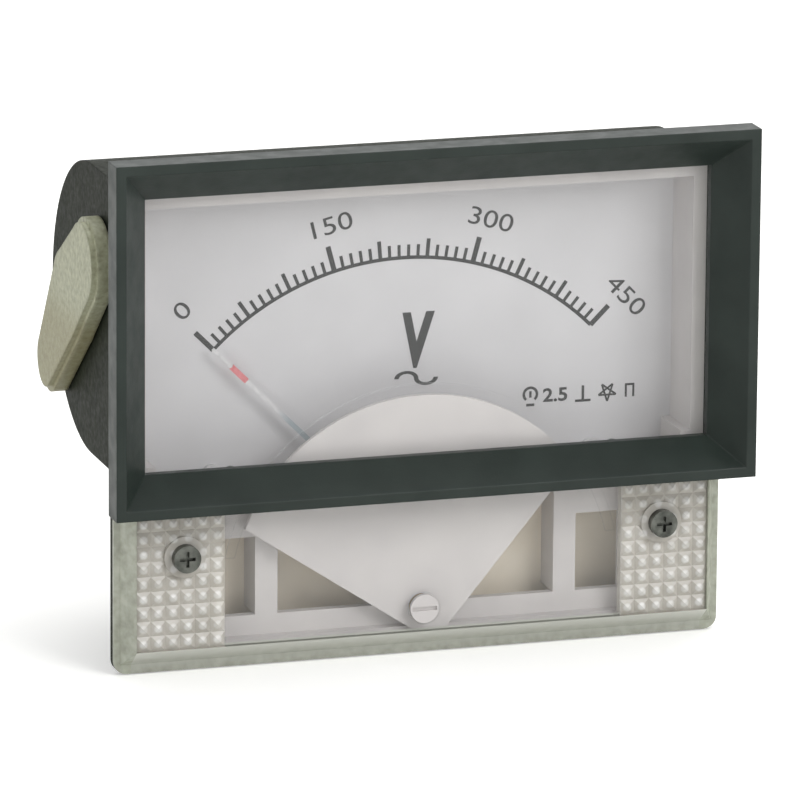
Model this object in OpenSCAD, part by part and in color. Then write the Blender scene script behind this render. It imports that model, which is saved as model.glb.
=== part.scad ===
// Analog panel meter with a moving-coil movement, 100 x 80 mm front.
// X runs across the face, Y back through the panel, Z up.
// The origin lies on the pointer's axis, in the plane of the panel's front.

/* [Front] */
// Width of the black bezel
bezel_w = 100; // [94:0.5:110]
// Height of the black bezel
bezel_h = 53.7; // [50:0.1:60]
// Height of the bezel's top edge above the pointer's axis
bezel_top = 63; // [61:0.5:66]
// How far the bezel's front stands before the panel
bezel_front = 12; // [11:0.1:14]
// Depth of the bezel's outer wall
bezel_wall = 4.5; // [3:0.1:5]
// Width of the flat rim round the bezel's front
bezel_rim = 1.5; // [1:0.1:2]
// Width of the bezel's side bars
bezel_bar = 5.9; // [5:0.1:7]
// Width of the bezel's top bar
bezel_top_bar = 6.4; // [5.5:0.1:7]
// Width of the bezel's bottom bar
bezel_low_bar = 5.5; // [5:0.1:7]

/* [Clear cover] */
// Width of the cover and flange at the panel
cover_w = 95.4; // [93.5:0.1:97]
// Distance from the pointer's axis down to the cover's lower edge
cover_low = 17; // [16.8:0.1:18]
// Distance from the pointer's axis up to the cover's upper edge
cover_high = 60; // [59:0.1:61.5]
// How far the cover's face stands before the panel
cover_face = 5; // [4.6:0.1:5.2]
// Width of the bevel down each side
side_bevel = 2.7; // [2:0.1:3.2]
// Height of the bevel along the lower edge
low_bevel = 4; // [3:0.1:5]
// Height of the bevel along the upper edge
top_bevel = 2; // [1:0.1:3]
// Thickness of the cover's face
face_t = 2; // [1.6:0.1:2.2]
// Thickness of the cover's skirt
skirt_t = 1.3; // [1:0.1:1.6]
// Radius of the cover's lower corners
cover_corner_r = 2; // [1:0.1:3]
// Pitch of the small pyramids in the lower corners
prism_pitch = 2.3; // [1.8:0.1:3]
// Depth of the grooves between the pyramids
prism_depth = 0.65; // [0.4:0.05:0.9]
// Columns of pyramids in each corner
prism_columns = 6; // [4:1:7]
// Distance between the two cover screws
cover_screw_span = 75; // [72:0.5:76]
// Height of the cover screws above the pointer's axis
cover_screw_z = 1.3; // [0:0.1:3]
// Radius of the cover screws' shank
cover_screw_r = 1.2; // [1:0.05:1.4]

/* [Shield] */
// Radius of the shield's arc
shield_r = 29.6; // [28:0.1:31]
// Distance from the pointer's axis down to the centre of the shield's arc
shield_drop = 6.4; // [5:0.1:8]
// Slope of the V's left edge, in degrees
shield_left_slope = 33.6; // [25:0.1:40]
// Slope of the V's right edge, in degrees
shield_right_slope = 50.4; // [45:0.1:60]
// Place of the V's point across the face
shield_tip_x = 2.1; // [0:0.1:3]
// Distance from the pointer's axis down to the V's point
shield_tip_drop = 15.4; // [14:0.1:16]
// Thickness of the shield sheet
shield_t = 0.8; // [0.5:0.1:1]
// Width of the thin rib round the shield's arc
ring_w = 1.5; // [1:0.1:2.5]

/* [Case] */
// Width of the deep body behind the panel
body_w = 91; // [89:0.1:92]
// Height of the deep body
body_h = 44.8; // [42:0.1:46]
// Height of the deep body's middle above the pointer's axis
body_z = 34.4; // [33:0.1:35.5]
// Depth of the deep body behind the panel
body_depth = 41.1; // [38:0.1:46]
// Thickness of the case's walls
case_t = 1.5; // [1.2:0.1:2]
// Thickness of the flange in front of the panel
flange_t = 1.2; // [1:0.1:1.6]
// Width of the shallow tray behind the lower cover
tray_w = 88; // [86:0.5:88.5]
// Outer radius of the barrel round the movement
barrel_r = 15.2; // [15:0.1:15.8]
// Depth of the barrel behind the panel
barrel_depth = 36; // [34:0.5:40]
// Distance between the two terminals
terminal_span = 40; // [30:1:50]
// Radius of the terminal studs (M4)
stud_r = 2; // [1.5:0.5:3]
// How far the studs stand out of the body
stud_out = 12.4; // [11.5:0.1:18]

/* [Dial and movement] */
// Depth of the dial's face behind the panel
dial_y = 7; // [6.6:0.1:7.4]
// Thickness of the dial plate
dial_t = 0.8; // [0.5:0.1:1]
// Length of the pointer from its axis
pointer_len = 43; // [38:0.5:44]
// Width of the needle at its tip
needle_w = 0.5; // [0.3:0.05:0.8]
// Angle of full scale, the same each side of upright
half_sweep = 45; // [40:1:45]
// Outer radius of the soft-iron ring
yoke_r = 12.6; // [12.5:0.05:13]
// Inner radius of the soft-iron ring
yoke_in_r = 9.75; // [9.7:0.05:9.9]
// Length of the ring and the magnet along the axis
yoke_len = 10.4; // [9:0.1:11.5]
// Radius of the core magnet
core_r = 7.5; // [6.5:0.1:7.6]
// Radius of the spindles
spindle_r = 0.5; // [0.4:0.05:0.6]
// Turns of each hairspring
spring_turns = 4; // [3:0.5:5]
// Offset of the pin on the zero adjuster
zero_pin_e = 0.8; // [0.5:0.05:1]
// Distance from the pointer's axis down to the zero adjuster
zero_drop = 9.5; // [9:0.1:10.5]

/* [Clamps] */
// Radius of the clamp's round head
clamp_head_r = 7; // [6.5:0.1:7.5]
// Length of the clamp from its head's centre to its tail's centre
clamp_len = 29; // [24:0.5:32]
// Radius of the clamp's tail
clamp_tail_r = 5; // [4.5:0.1:6]
// How far the clamp's middle swells to the back
clamp_swell = 1.7; // [0:0.1:2.5]
// Thickness of the clamp
clamp_t = 3; // [2.6:0.1:4]
// Offset of the clamp's pivot from its head's centre
clamp_e = 3; // [2:0.1:3.5]
// Distance of the clamp's pivot behind the panel
clamp_y = 14; // [13:0.1:16]
// Height of the clamp's pivot above the pointer's axis
clamp_z = 45.6; // [43:0.1:46]

/* [Hidden] */

$fn = 64;
// Gap between pieces that are set into each other, and play of a turning fit
gap = 0.3;
play = 0.05;
// Length by which a cutter runs past the face it cuts
over = 1;

// Bezel
bezel_low = bezel_top - bezel_h;
bezel_lip = 1.35;
bezel_step = 2.6;
bezel_peg_z = bezel_low + 3.9;
bezel_hook_x = 30;
bezel_peg_r = 1.2;

// Clear cover
cover_in = cover_face - face_t;
side_slope = side_bevel / cover_face;
low_slope = low_bevel / cover_face;
top_slope = top_bevel / cover_face;
prism_out = cover_w / 2 - side_bevel;
prism_in = prism_out - prism_columns * prism_pitch;
prism_low = -cover_low + low_bevel;
prism_rows = floor((bezel_low - prism_low) / prism_pitch);
screw_land_r = 3.2;
screw_head_r = 2.1;
screw_head_t = 1.4;
ring_t = 0.5;
shield_low = -cover_low + low_slope * cover_in + skirt_t + 0.2;

// Case
tray_low = cover_low - 1.8;
tray_floor = 9.4;
body_r = body_h / 2;
body_high = body_z + body_r;
body_in_w = body_w - 2 * case_t;
ledge_t = 1;
floor_back = tray_floor + case_t;
base_boss_r = 2.8;
base_boss_len = 9.6;
base_screw_r = 1.1;
base_head_r = 1.9;
base_screw_x = body_in_w / 2 - ledge_t - base_boss_r + 0.2;
base_screw_z = [body_z - body_r + 4.8, body_z + body_r - 6.4];
cover_boss_r = 2.8;
cover_boss_len = 7;
pad_r = 7;
pad_back = body_depth + 1.5;
pad_front = body_depth - 4.6;
clamp_boss_r = 2.5;
clamp_boss_len = 2.2;

// Frame, dial and base
frame_front = cover_in - shield_t;
frame_w = cover_w - 2 * side_slope * frame_front - 2 * skirt_t - 2 * gap;
frame_low = -cover_low + low_slope * frame_front + skirt_t + gap;
frame_high = cover_high - top_slope * frame_front - skirt_t - gap;
well_w = body_in_w - 2 * gap;
well_t = 0.9;
well_high = body_high - case_t - gap;
well_low = body_high - body_h + case_t + gap;
throat_w = tray_w - 2 * case_t - 2 * gap;
dial_low = 9;
dish_w = 67.2;
dish_t = 0.6;
dish_front = 0.4;
dish_back = 1;
post_out = 25.3;
post_in = 21.8;
window_out = 32.3;
window_high = 2.4;
window_low = -9.7;
dish_low = -tray_low + case_t + gap;
dish_high = 7.5;
floor_y = 5.5;
base_front = dial_y + dial_t;
base_gap = 0.3;
dial_screw_x = 30;
dial_screw_z = 10.5;
dial_screw_r = 0.9;
dial_head_r = 1.7;
dial_head_t = 0.7;
slot_w = 0.4;

// Movement, by depth behind the panel
bridge_y = 0;
bridge_t = 1.2;
bridge_half_w = 2.2;
leg_in = 9.95;
leg_x = 11.2;
needle_y = 4.9;
needle_t = 0.3;
hub_r = 1.8;
yoke_y = 12.6;
strap_t = 0.8;
strap_half_w = 2.5;
strap_half_len = 12.3;
former_gap = 0.4;
former_t = 0.4;
former_in = 8;
former_half_w = 2.1;
coil_t = 0.8;
coil_half_w = 1.8;
pillar_z = 11.2;
pillar_r = 2.2;
movement_screw_r = 0.8;
movement_head_r = 1.4;
movement_head_t = 1;
bridge_screw_r = 0.7;
bridge_head_r = 1.2;
bridge_head_t = 0.7;
screw_grip = 4;
screw_gap = 0.1;
bridge_eye_r = 3.4;
jewel_gap = 0.05;
lug_w = 1.2;
lug_t = 0.8;
lug_out = 1.1;
lug_root = 3;
yoke_back = yoke_y + yoke_len;
former_front = yoke_y - strap_t - former_gap;
former_back = yoke_back + strap_t + former_gap;
coil_front = former_front - former_t - coil_t;
coil_back = former_back + former_t + coil_t;
rear_bridge_y = coil_back + 3.2;
jewel_r = 1.9;
jewel_shoulder_r = 1.5;
spring_w = 0.5;
spring_t = 0.12;
spring_in_r = 1.1;
spring_out_r = 4.6;
front_spring_y = 2.5;
rear_spring_y = coil_back + 1.5;
lever_t = 0.5;
lever_y = -0.6;
weight_r = 0.9;
tail_len = 7.5;
arm_len = 5.5;

// Circuit
board_t = 1.6;
board_w = 58;
resistor_z = [-5, -9.5];
resistor_r = 1.7;
resistor_len = 9;
resistor_lift = 2.4;
lead_t = 0.7;
lead_out = 3.5;
board_h = 24;
collar_r = 2.4;
tail_r = 1.2;
head_t = 3;
collar_len = 1.9;
board_y = pad_front - head_t - collar_len - board_t;
nut_af = 7;
nut_t = 3.2;
washer_r = 4.3;
washer_t = 0.8;
// The stud's end runs plain behind the outer nut
stud_lead = 0.25;
stud_plain_y = pad_back + 2 * (washer_t + nut_t) + gap;

// Colours
black = [0.2, 0.22, 0.21];
clear = [0.85, 0.9, 0.92, 0.4];
white = [0.88, 0.88, 0.88];
ivory = [0.8, 0.78, 0.68];
steel = [0.6, 0.6, 0.62];
dark_steel = [0.3, 0.3, 0.3];
brass = [0.78, 0.65, 0.33];
copper = [0.75, 0.4, 0.2];

// ---------- Shared shapes ----------

// A shape drawn in X and Z, made solid from depth y0 back to y1
module slab(y0, y1) {
    translate([0, y1, 0]) rotate([90, 0, 0]) linear_extrude(height = y1 - y0) children();
}

// A shape drawn in Y and Z, made solid from x0 to x1
module side_slab(x0, x1) {
    translate([x0, 0, 0]) rotate([90, 0, 90]) linear_extrude(height = x1 - x0) children();
}

// A round rod along Y
module rod(x, z, y0, y1, r) {
    translate([x, y0, z]) rotate([-90, 0, 0]) cylinder(h = y1 - y0, r = r);
}

// A rectangle in X and Z, the same each side of the middle
module span(w, z0, z1) {
    translate([-w / 2, z0]) square([w, z1 - z0]);
}

// The same with round corners
module round_span(w, z0, z1, r) {
    span(w - 2 * r, z0, z1);
    span(w, z0 + r, z1 - r);
    for (x = [-1, 1], z = [z0 + r, z1 - r]) translate([x * (w / 2 - r), z]) circle(r = r);
}

// Two circles joined by straight sides, the first at the origin, the second along X
module tapered_link(r1, r2, length) {
    a = acos((r1 - r2) / length);
    in = 0.99; // the sides run just inside the tangents
    circle(r = r1);
    translate([length, 0]) circle(r = r2);
    polygon([[in * r1 * cos(a), in * r1 * sin(a)], [in * r1 * cos(a), -in * r1 * sin(a)],
        [length + in * r2 * cos(a), -in * r2 * sin(a)], [length + in * r2 * cos(a), in * r2 * sin(a)]]);
}

module mirror_pair() {
    children();
    mirror([1, 0, 0]) children();
}

// ---------- Front ----------

// Opening that narrows from the rim to the lip on all four sides
module bezel_funnel() {
    depth = bezel_front - cover_face - bezel_lip;
    intersection() {
        translate([0, 0, bezel_low]) linear_extrude(height = bezel_h) funnel_section(
            [-bezel_w / 2, bezel_w / 2], [bezel_bar, bezel_bar], depth);
        rotate([90, 0, 90]) translate([0, 0, -bezel_w / 2]) linear_extrude(height = bezel_w)
            rotate(-90) mirror([1, 0]) funnel_section([bezel_low, bezel_top], [bezel_low_bar, bezel_top_bar], depth);
    }
}

// Section of the funnel: across on X between two outer edges, depth on Y
module funnel_section(edges, bars, depth) {
    translate([0, -bezel_front]) polygon([
        [edges[0] + bezel_rim, -over], [edges[0] + bezel_rim, 0], [edges[0] + bars[0], depth],
        [edges[0] + bars[0], bezel_front], [edges[1] - bars[1], bezel_front], [edges[1] - bars[1], depth],
        [edges[1] - bezel_rim, 0], [edges[1] - bezel_rim, -over]]);
}

module bezel() {
    color(black) {
        difference() {
            union() {
                slab(-bezel_front, bezel_wall - bezel_front) span(bezel_w, bezel_low, bezel_top);
                slab(-bezel_front + over, -cover_face)
                    span(bezel_w - 2 * bezel_step, bezel_low + bezel_step, bezel_top - bezel_step);
            }
            bezel_funnel();
        }
        for (x = [-1, 1]) rod(x * bezel_hook_x, bezel_peg_z, -cover_face - over, -cover_in, bezel_peg_r);
        for (x = [-1, 1]) bezel_hook(x * bezel_hook_x);
    }
}

// Tab that reaches back over the cover's upper edge
module bezel_hook(x) {
    z0 = cover_high + gap;
    translate([x - 4, -bezel_front + bezel_wall - over, z0])
        cube([8, bezel_front - bezel_wall - flange_t - gap + over, 1.2]);
}

// The cover's bevelled block, drawn in by an even thickness for its hollow
module cover_block(inset, front) {
    half = cover_w / 2 - inset;
    intersection() {
        translate([0, 0, -cover_low - over])
            linear_extrude(height = cover_low + cover_high + 2 * over)
                polygon([[-half, 0], [side_slope * front - half, -front],
                    [half - side_slope * front, -front], [half, 0]]);
        side_slab(-cover_w, cover_w)
            polygon([[0, inset - cover_low], [-front, inset - cover_low + low_slope * front],
                [-front, cover_high - inset - top_slope * front], [0, cover_high - inset]]);
        slab(-front - over, over)
            round_span(cover_w - 2 * inset, inset - cover_low, cover_high - inset,
                cover_corner_r - inset / 2);
    }
}

module clear_cover() {
    color(clear) difference() {
        union() {
            difference() {
                cover_block(0, cover_face);
                cover_block(skirt_t, cover_in);
            }
            shield_ring();
            mirror_pair() rod(cover_screw_span / 2, cover_screw_z, -cover_in, -frame_front, 3);
        }
        translate([-cover_w, -flange_t - 0.1, -cover_low - over])
            cube([2 * cover_w, 2 * flange_t, cover_low + cover_high + 2 * over]);
        mirror_pair() {
            prism_grooves();
            rod(cover_screw_span / 2, cover_screw_z, -cover_face - over, 0, cover_screw_r + 0.2);
            rod(bezel_hook_x, bezel_peg_z, -cover_face - over, 0, bezel_peg_r + 0.1);
        }
        rod(0, -zero_drop, -cover_face - over, 0, zero_shaft_r + play);
        rod(0, -zero_drop, -cover_face - over, -cover_face + zero_head_t, zero_head_r + gap);
    }
}

// Rib on the inside of the cover's face, round the shield's arc
module shield_ring() {
    slab(-cover_in, -cover_in + ring_t) intersection() {
        translate([0, -shield_drop]) difference() {
            circle(r = shield_r + gap + ring_w);
            circle(r = shield_r + gap);
        }
        translate([-shield_r * 2, 0]) square([shield_r * 4, shield_r * 2]);
    }
}

// Crossed V grooves that leave rows of pyramids on the face, with a plain land round the screw
module prism_grooves() {
    rows = prism_rows;
    columns = prism_columns;
    half = prism_pitch / 2;
    x_mid = (prism_in + prism_out) / 2;
    z_mid = prism_low + rows * prism_pitch / 2;
    difference() {
        intersection() {
            union() {
                for (i = [0 : columns]) translate([prism_in + i * prism_pitch, -cover_face, z_mid])
                    linear_extrude(height = rows * prism_pitch, center = true)
                        polygon([[-half, -0.01], [half, -0.01], [0, prism_depth]]);
                for (j = [0 : rows]) translate([x_mid, -cover_face, prism_low + j * prism_pitch])
                    rotate([0, 90, 0]) linear_extrude(height = columns * prism_pitch, center = true)
                        polygon([[-half, -0.01], [half, -0.01], [0, prism_depth]]);
            }
            translate([prism_in, -cover_face - over, prism_low])
                cube([columns * prism_pitch, face_t + over, rows * prism_pitch]);
        }
        rod(cover_screw_span / 2, cover_screw_z, -cover_face - 2 * over, 0, screw_land_r);
    }
}

zero_shaft_r = 1.6;
zero_head_r = 2.2;
zero_head_t = 0.8;

module cover_screws() {
    color(dark_steel) mirror_pair() difference() {
        union() {
            rod(cover_screw_span / 2, cover_screw_z, -cover_face - screw_head_t, -cover_face, screw_head_r);
            rod(cover_screw_span / 2, cover_screw_z, -cover_face, floor_back + cover_boss_len - 3, cover_screw_r);
        }
        cross_recess(cover_screw_span / 2, cover_screw_z, -cover_face - screw_head_t, 1.2, 0.5);
    }
}

// Cross cut into a screw's head
module cross_recess(x, z, y, reach, width) {
    slab(y - over, y + 0.8) translate([x, z]) {
        square([2 * reach, width], center = true);
        square([width, 2 * reach], center = true);
    }
}

module zero_adjuster() {
    color(clear) translate([0, 0, -zero_drop]) {
        difference() {
            union() {
                rod(0, 0, -cover_face, -cover_face + zero_head_t - 0.1, zero_head_r);
                rod(0, 0, -cover_face + 0.1, -cover_in + 0.1, zero_shaft_r);
            }
            slab(-cover_face - over, -cover_face + 0.4) square([2 * zero_head_r - 0.6, 0.6], center = true);
        }
        rod(0, -zero_pin_e, -cover_in, lever_y + lever_t, 0.4);
    }
}

module shield_mask() {
    color(white) difference() {
        slab(-cover_in, -cover_in + shield_t) shield_outline();
        rod(0, -zero_drop, -cover_face, 0, zero_shaft_r + gap);
    }
}

// Round above, cut by two slanting lines below
module shield_outline() {
    reach = 2 * shield_r;
    intersection() {
        translate([0, -shield_drop]) circle(r = shield_r, $fn = 128);
        translate([shield_tip_x, -shield_tip_drop])
            polygon([[0, 0], [reach * cos(shield_right_slope), reach * sin(shield_right_slope)],
                [0, 2 * reach], [-reach * cos(shield_left_slope), reach * sin(shield_left_slope)]]);
        span(2 * reach, shield_low, reach);
    }
}

// ---------- Frame, dial and base ----------

// Outline of the well round the dial: wide above, as wide as the throat below
module well_shape(inset, low, up) {
    span(well_w - 2 * inset, well_low + inset, well_high - inset + up);
    span(throat_w - 2 * inset, low, well_low + inset + over);
}

module inner_frame() {
    color(white) difference() {
        union() {
            // Rim that lies on the case's flange
            slab(-frame_front, -flange_t) difference() {
                round_span(frame_w, frame_low, frame_high, 1);
                well_shape(well_t, dial_low, 0);
                span(dish_w - 2 * dish_t, dish_low + dish_t, dial_low + over);
            }
            // Walls round the dial
            slab(-flange_t, dial_y) difference() {
                well_shape(0, dial_low, 0);
                well_shape(well_t, dial_low - over, 0);
            }
            // Dished part with its walls, windows and posts
            slab(-flange_t, dish_back) difference() {
                span(dish_w, dish_low, dish_high);
                span(dish_w - 2 * dish_t, dish_low + dish_t, dish_high + over);
            }
            slab(-dish_front, dish_back) span(dish_w, dish_low, dish_high);
            mirror_pair() translate([post_in, dish_back - over, window_low])
                cube([post_out - post_in, floor_y - dish_back + over, dish_high - window_low]);
        }
        slab(-over, dish_back + over) {
            span(2 * post_in, window_low, dish_high + over);
            span(5, -zero_drop - zero_pin_e - 2, window_low + over);
            for (s = [-1, 1]) translate([s > 0 ? post_out : -window_out, window_low])
                square([window_out - post_out, window_high - window_low]);
        }
        mirror_pair() rod(cover_screw_span / 2, cover_screw_z, -cover_face, dial_y, cover_screw_r + gap);
    }
}

module dial_plate() {
    color(white) difference() {
        slab(dial_y, dial_y + dial_t) well_shape(0.3, dial_low, 0);
        mirror_pair() rod(dial_screw_x, dial_screw_z, 0, 2 * dial_y, dial_screw_r + 0.1);
    }
}

module dial_screws() {
    color(steel) mirror_pair() difference() {
        union() {
            rod(dial_screw_x, dial_screw_z, dial_y - dial_head_t, dial_y, dial_head_r);
            rod(dial_screw_x, dial_screw_z, dial_y, tray_floor - 0.2, dial_screw_r);
        }
        slab(dial_y - over, dial_y - slot_w) translate([dial_screw_x, dial_screw_z]) rotate(20)
            square([2 * dial_head_r + over, slot_w], center = true);
    }
}

module base_plate() {
    color(ivory) difference() {
        union() {
            slab(base_front, tray_floor) well_shape(0, dish_low, 0);
            slab(floor_y, tray_floor) span(throat_w, dish_low, dial_low - base_gap);
            for (z = [-1, 1]) rod(0, z * pillar_z, base_front, yoke_y - strap_t, pillar_r);
        }
        // Way through for the movement's front
        slab(floor_y - over, tray_floor + over) difference() {
            union() {
                circle(r = former_in + 2.2);
                square([2 * (yoke_r + gap), 2 * bridge_half_w + 0.8], center = true);
            }
            for (z = [-1, 1]) translate([0, z * pillar_z]) circle(r = pillar_r);
        }
        for (z = [-1, 1]) rod(0, z * pillar_z, base_front + 0.4, yoke_y, movement_screw_r + 0.05);
        mirror_pair() {
            rod(cover_screw_span / 2, cover_screw_z, 0, 2 * tray_floor, cover_screw_r + gap);
            rod(dial_screw_x, dial_screw_z, 0, 2 * tray_floor, dial_screw_r + 0.05);
            for (z = base_screw_z) {
                rod(base_screw_x, z, 0, 2 * tray_floor, base_screw_r + gap);
                rod(base_screw_x, z, 0, base_front + 0.9, base_head_r + 0.2);
            }
        }
    }
}

module base_screws() {
    color(steel) mirror_pair() for (z = base_screw_z) difference() {
        union() {
            rod(base_screw_x, z, base_front + 0.1, base_front + 0.9, base_head_r);
            rod(base_screw_x, z, base_front + 0.9, tray_floor + base_boss_len - 2, base_screw_r);
        }
        slab(0, base_front + 0.5) translate([base_screw_x, z]) square([0.4, 5], center = true);
    }
}

// ---------- Case ----------

// Side outline of the deep body: straight above and below, half round at the back
module body_profile(inset, front) {
    centre = body_depth - body_r;
    translate([front, body_z - body_r + inset]) square([centre - front, body_h - 2 * inset]);
    intersection() {
        translate([centre, body_z]) circle(r = body_r - inset, $fn = 128);
        translate([centre - over, 0]) square([body_h, 2 * body_high]);
    }
}

module case_outside() {
    slab(-flange_t, 0) round_span(cover_w, -cover_low, cover_high, cover_corner_r);
    side_slab(-body_w / 2, body_w / 2) body_profile(0, -flange_t / 2);
    slab(-flange_t / 2, floor_back) round_span(tray_w, -tray_low, body_z, 1.5);
    barrel(barrel_r, barrel_depth, 2);
    mirror_pair() {
        rod(terminal_span / 2, body_z, body_depth - 6, pad_back, pad_r);
        rod(cover_screw_span / 2, cover_screw_z, tray_floor, floor_back + cover_boss_len, cover_boss_r);
        translate([body_w / 2 - 0.5, clamp_y, clamp_z]) rotate([0, 90, 0])
            cylinder(h = clamp_boss_len + 0.5, r = clamp_boss_r);
    }
}

// Round housing along the pointer's axis, with a rounded back edge
module barrel(r, back, edge) {
    rotate([-90, 0, 0]) rotate_extrude($fn = 96) {
        square([r, back - edge]);
        square([r - edge, back]);
        translate([r - edge, back - edge]) intersection() {
            circle(r = edge, $fn = 32);
            square(edge);
        }
    }
}

module case_inside() {
    // Well for the dial, then the deep body behind its ledge
    slab(-flange_t - over, tray_floor) span(body_in_w, well_low - gap, well_high + gap);
    side_slab(-body_in_w / 2 + ledge_t, body_in_w / 2 - ledge_t)
        body_profile(case_t + ledge_t, 0);
    slab(-flange_t - over, tray_floor) span(tray_w - 2 * case_t, -tray_low + case_t, body_z);
    translate([0, -over, 0]) barrel(barrel_r - case_t + 0.2, barrel_depth - case_t + over, 1);
}

module case() {
    color(black) difference() {
        union() {
            difference() {
                case_outside();
                difference() {
                    case_inside();
                    terminal_pads_inside();
                }
            }
            base_bosses();
        }
        mirror_pair() {
            rod(terminal_span / 2, body_z, 0, 2 * body_depth, stud_r + 0.15);
            rod(cover_screw_span / 2, cover_screw_z, 0, floor_back + cover_boss_len - 2, cover_screw_r + 0.05);
            for (z = base_screw_z)
                rod(base_screw_x, z, tray_floor - 2 * over, tray_floor + base_boss_len - 1.5, base_screw_r + 0.05);
        }
    }
}

module terminal_pads_inside() {
    mirror_pair() rod(terminal_span / 2, body_z, pad_front, pad_back, pad_r);
}

// Screw bosses in the deep body's corners
module base_bosses() {
    intersection() {
        mirror_pair() for (z = base_screw_z)
            rod(base_screw_x, z, tray_floor, tray_floor + base_boss_len, base_boss_r);
        side_slab(-body_w / 2 + 0.5, body_w / 2 - 0.5) body_profile(0.5, 0);
    }
}

// ---------- Terminals and circuit ----------

module hexagon(across) {
    circle(r = across / sqrt(3), $fn = 6);
}

module terminal_studs() {
    x = terminal_span / 2;
    color(brass) mirror_pair() {
        slab(pad_front - head_t, pad_front) translate([x, body_z]) hexagon(nut_af);
        rod(x, body_z, pad_front, stud_plain_y, stud_r);
        rod(x, body_z, stud_plain_y, pad_back + stud_out, stud_r - stud_lead);
        rod(x, body_z, board_y + board_t, pad_front - head_t, collar_r);
        rod(x, body_z, board_y - 1.5, board_y + board_t, tail_r);
    }
}

module nut_at(y) {
    slab(y, y + nut_t) translate([terminal_span / 2, body_z]) difference() {
        hexagon(nut_af);
        circle(r = stud_r + 0.05);
    }
}

module terminal_nuts() {
    first = pad_back + washer_t;
    color(brass) mirror_pair() {
        nut_at(first);
        nut_at(first + nut_t + washer_t);
    }
}

module terminal_washers() {
    color(brass) mirror_pair() for (y = [pad_back, pad_back + washer_t + nut_t])
        slab(y, y + washer_t) translate([terminal_span / 2, body_z]) difference() {
            circle(r = washer_r);
            circle(r = stud_r + 0.2);
        }
}

module circuit_board() {
    color([0.55, 0.45, 0.2]) slab(board_y, board_y + board_t) difference() {
        translate([0, body_z]) round_span(board_w, -board_h / 2, board_h / 2, 1);
        for (x = [-1, 1]) translate([x * terminal_span / 2, body_z]) circle(r = tail_r + 0.1);
    }
}

// Round bridge rectifier that stands on the board
module rectifier() {
    color(dark_steel) {
        difference() {
            rod(0, body_z + 4, board_y - 6, board_y - 1, 4.5);
            translate([4, board_y - 7, body_z]) cube([1, 7, 8]);
        }
        for (x = [-1.8, 1.8], z = [-1.8, 1.8]) rod(x, body_z + 4 + z, board_y - 1, board_y, 0.4);
    }
}

// Multiplier resistors with bent leads
module multiplier_resistors() {
    reach = resistor_len / 2 + lead_out;
    color([0.8, 0.72, 0.55]) for (z = resistor_z) {
        translate([0, board_y - resistor_lift, body_z + z]) rotate([0, 90, 0])
            cylinder(h = resistor_len, r = resistor_r, center = true);
        for (side = [0, 1]) mirror([side, 0, 0])
            translate([resistor_len / 2, board_y - resistor_lift - lead_t / 2, body_z + z - lead_t / 2]) {
                cube([lead_out, lead_t, lead_t]);
                translate([lead_out - lead_t, 0, 0]) cube([lead_t, resistor_lift + lead_t / 2, lead_t]);
            }
    }
}

// ---------- Movement ----------

module ring_holes() {
    for (z = [-1, 1]) rod(0, z * pillar_z, yoke_y - over, yoke_back + over, movement_screw_r + 0.1);
    for (x = [-1, 1]) rod(x * leg_x, 0, yoke_y - over, yoke_back + over, bridge_screw_r + 0.1);
}

module yoke() {
    color(steel) difference() {
        rod(0, 0, yoke_y, yoke_back, yoke_r);
        rod(0, 0, yoke_y - over, yoke_back + over, yoke_in_r);
        ring_holes();
    }
}

module magnet_core() {
    color(dark_steel) rod(0, 0, yoke_y, yoke_back, core_r);
}

module core_strap(y) {
    color(brass) slab(y, y + strap_t) difference() {
        intersection() {
            square([2 * strap_half_w, 2 * strap_half_len], center = true);
            circle(r = yoke_r);
        }
        for (z = [-1, 1]) translate([0, z * pillar_z]) circle(r = movement_screw_r + 0.1);
    }
}

module front_core_strap() {
    core_strap(yoke_y - strap_t);
}

module rear_core_strap() {
    core_strap(yoke_back);
}

module movement_screws() {
    head = yoke_back + strap_t;
    color(steel) for (z = [-1, 1]) difference() {
        union() {
            rod(0, z * pillar_z, head, head + movement_head_t, movement_head_r);
            rod(0, z * pillar_z, base_front + 0.6, head, movement_screw_r);
        }
        slab(head + movement_head_t - slot_w, head + movement_head_t + over) translate([0, z * pillar_z])
            square([slot_w, 2 * movement_head_r + over], center = true);
    }
}

// Plate across the axis with two legs; the legs run from the plate to the ring
module bridge(plate_y, leg_y0, leg_y1) {
    difference() {
        union() {
            slab(plate_y, plate_y + bridge_t) intersection() {
                square([2 * yoke_r, 2 * bridge_half_w], center = true);
                circle(r = yoke_r);
            }
            slab(plate_y, plate_y + bridge_t) circle(r = bridge_eye_r);
            slab(leg_y0, leg_y1) intersection() {
                difference() {
                    square([2 * yoke_r, 2 * bridge_half_w], center = true);
                    circle(r = leg_in);
                }
                circle(r = yoke_r);
            }
        }
        rod(0, 0, plate_y - over, plate_y + bridge_t + over, jewel_r + jewel_gap);
        for (x = [-1, 1]) rod(x * leg_x, 0, min(plate_y, leg_y0) - over, max(leg_y1, plate_y + bridge_t) + over,
            bridge_screw_r + screw_gap);
    }
}

module front_bridge() {
    color(brass) bridge(bridge_y, bridge_y + bridge_t / 2, yoke_y);
}

module rear_bridge() {
    color(brass) {
        bridge(rear_bridge_y, yoke_back, rear_bridge_y + bridge_t / 2);
        // Lug that holds the rear hairspring's outer end
        translate([-lug_w / 2, rear_spring_y - 0.2, -spring_out_r - spring_t - lug_out])
            cube([lug_w, rear_bridge_y + bridge_t / 2 - rear_spring_y + 0.2, lug_t]);
        slab(rear_bridge_y, rear_bridge_y + bridge_t) translate([-lug_w / 2, -spring_out_r - spring_t - lug_out])
            square([lug_w, lug_root]);
    }
}

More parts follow.
